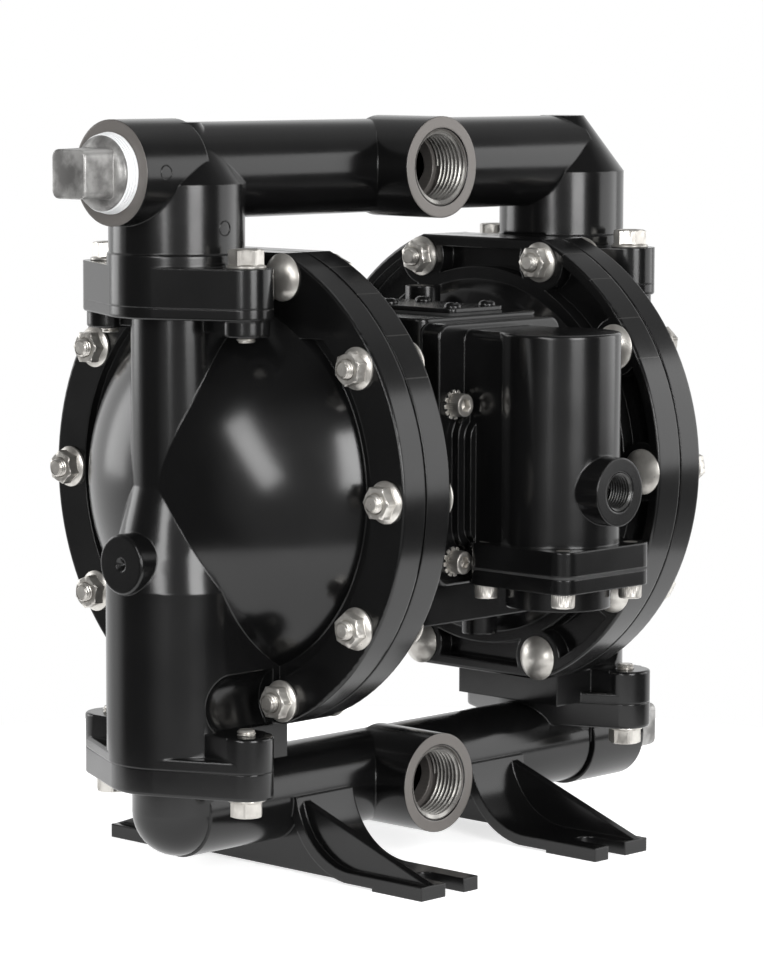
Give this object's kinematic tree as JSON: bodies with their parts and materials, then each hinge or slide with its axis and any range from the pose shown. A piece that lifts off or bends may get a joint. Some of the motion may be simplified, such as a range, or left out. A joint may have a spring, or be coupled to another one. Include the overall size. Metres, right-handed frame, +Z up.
{
  "type": "air operated double diaphragm pump",
  "caption": "Air operated diaphragm pump in painted cast metal, with ported manifolds, a front air valve and slotted feet.",
  "frame": {"origin": "on the floor, midway between the two pumping chambers, under the manifolds' axis", "axes": "+X along the diaphragm rod towards the right-hand chamber, -Y towards the ports and the air valve, +Z up"},
  "size_m": [0.367, 0.2482, 0.3271],
  "materials": {
    "casing_paint": "semi-gloss black paint on cast aluminium",
    "bright_steel": "bright zinc or stainless fasteners",
    "plug_iron": "plain grey malleable iron",
    "tape_white": "white thread sealing tape",
    "gasket_black": "black rubber sheet and seals",
    "rubber_black": "moulded black rubber",
    "rod_steel": "ground steel",
    "plate_aluminium": "machined aluminium",
    "bush_bronze": "plain bronze bushes",
    "ball_white": "white valve balls",
    "seat_steel": "machined stainless steel",
    "spool_plastic": "dark filled plastic"
  },
  "bodies": {
    "casing": {"left_fluid_cap": "casing_paint", "right_fluid_cap": "casing_paint", "left_air_cap": "casing_paint", "right_air_cap": "casing_paint", "center_body": "casing_paint", "outlet_manifold": "casing_paint", "inlet_manifold": "casing_paint", "air_valve_housing": "casing_paint", "valve_end_cap": "casing_paint", "top_cover": "casing_paint", "left_chamber_bolts": "bright_steel", "right_chamber_bolts": "bright_steel", "left_chamber_nuts": "bright_steel", "right_chamber_nuts": "bright_steel", "outlet_manifold_bolts": "bright_steel", "inlet_manifold_bolts": "bright_steel", "valve_housing_screws": "bright_steel", "toothed_washers": "bright_steel", "end_cap_screws": "bright_steel", "top_cover_screws": "bright_steel", "outlet_plug": "plug_iron", "inlet_plug": "plug_iron", "thread_tape": "tape_white", "air_cap_gaskets": "gasket_black", "valve_housing_gasket": "gasket_black", "valve_end_gasket": "gasket_black", "top_cover_gasket": "gasket_black", "rod_seals": "gasket_black", "seat_rings": "gasket_black", "air_cap_screws": "rod_steel", "rod_bushes": "bush_bronze", "pilot_rod_bushes": "bush_bronze", "left_inlet_seat": "seat_steel", "right_inlet_seat": "seat_steel", "left_outlet_seat": "seat_steel", "right_outlet_seat": "seat_steel", "valve_port_plate": "spool_plastic"},
    "rod_assembly": {"diaphragm_rod": "rod_steel", "left_inner_plate": "plate_aluminium", "right_inner_plate": "plate_aluminium", "left_outer_plate": "plate_aluminium", "right_outer_plate": "plate_aluminium", "left_diaphragm": "rubber_black", "right_diaphragm": "rubber_black"},
    "left_inlet_ball": {"left_inlet_ball": "ball_white"},
    "right_inlet_ball": {"right_inlet_ball": "ball_white"},
    "left_outlet_ball": {"left_outlet_ball": "ball_white"},
    "right_outlet_ball": {"right_outlet_ball": "ball_white"},
    "valve_spool": {"valve_spool": "spool_plastic", "spool_seals": "gasket_black", "valve_slide": "spool_plastic"},
    "pilot_rod": {"pilot_rod": "rod_steel"}
  },
  "joints": [
    {"name": "diaphragm_stroke", "type": "slide", "parent": "casing", "child": "rod_assembly", "axis": [1, 0, 0], "range_m": [-0.009, 0.009], "deforming": ["left_diaphragm", "right_diaphragm"]},
    {"name": "spool_travel", "type": "slide", "parent": "casing", "child": "valve_spool", "axis": [0, 0, 1], "range_m": [0, 0.008]},
    {"name": "pilot_travel", "type": "slide", "parent": "casing", "child": "pilot_rod", "axis": [1, 0, 0], "range_m": [-0.002, 0.002]},
    {"name": "left_inlet_ball_lift", "type": "slide", "parent": "casing", "child": "left_inlet_ball", "axis": [0, 0, 1], "range_m": [0, 0.008]},
    {"name": "left_outlet_ball_lift", "type": "slide", "parent": "casing", "child": "left_outlet_ball", "axis": [0, 0, 1], "range_m": [0, 0.008]},
    {"name": "right_inlet_ball_lift", "type": "slide", "parent": "casing", "child": "right_inlet_ball", "axis": [0, 0, 1], "range_m": [0, 0.008]},
    {"name": "right_outlet_ball_lift", "type": "slide", "parent": "casing", "child": "right_outlet_ball", "axis": [0, 0, 1], "range_m": [0, 0.008]}
  ]
}
